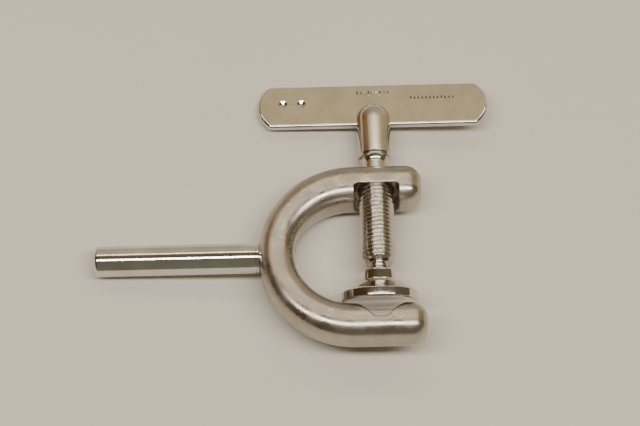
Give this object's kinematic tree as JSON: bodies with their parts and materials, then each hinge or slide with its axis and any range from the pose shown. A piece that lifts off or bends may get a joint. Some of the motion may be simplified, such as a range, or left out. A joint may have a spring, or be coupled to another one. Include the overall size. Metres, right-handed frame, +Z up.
{
  "type": "table clamp with support rod",
  "caption": "Chromed screw C-clamp with a plain support rod, flat bar handle and tilting round pad, for fixing a rod to a bench edge.",
  "frame": {"origin": "middle of the base of the box round the clamp as it lies at rest on its rod tip, its screw head and its pad rim", "axes": "+X away from the rod's free end, along the rod seen from above; +Y towards the handle, along the screw seen from above; +Z up. The C's plane leans 8.7 degrees from level."},
  "size_m": [0.1832, 0.1314, 0.0353],
  "materials": {
    "frame_chrome": "satin chrome over a forging, lightly pitted",
    "rod_chrome": "bright polished chrome",
    "screw_chrome": "bright chrome over a cut thread",
    "bar_chrome": "bright polished chrome with small stamped marks",
    "pad_chrome": "bright polished chrome",
    "spring_steel": "drawn wire"
  },
  "bodies": {
    "frame": {"c_frame": "frame_chrome", "support_rod": "rod_chrome"},
    "pad_carrier": {"retaining_ring": "spring_steel"},
    "screw": {"clamp_screw": "screw_chrome", "handle_bar": "bar_chrome"},
    "pad": {"swivel_pad": "pad_chrome"}
  },
  "joints": [
    {"name": "screw_advance", "type": "slide", "parent": "frame", "child": "pad_carrier", "axis": [0.0102, 0.9917, -0.128], "range_m": [-0.0005, 0.0311]},
    {"name": "screw_spin", "type": "hinge", "parent": "pad_carrier", "child": "screw", "pos_m": [0.03691, -0.0224, 0.01704], "axis": [0.0102, 0.9917, -0.128], "range_deg": [-90, 5580]},
    {"name": "pad_tilt", "type": "hinge", "parent": "pad_carrier", "child": "pad", "pos_m": [0.03679, -0.0343, 0.01858], "axis": [0.9968, 0, 0.0794], "range_deg": [-27, 0]}
  ],
  "couplings": [
    {"joint": "screw_advance", "follows": "screw_spin", "m_per_rad": 0.00031831}
  ]
}
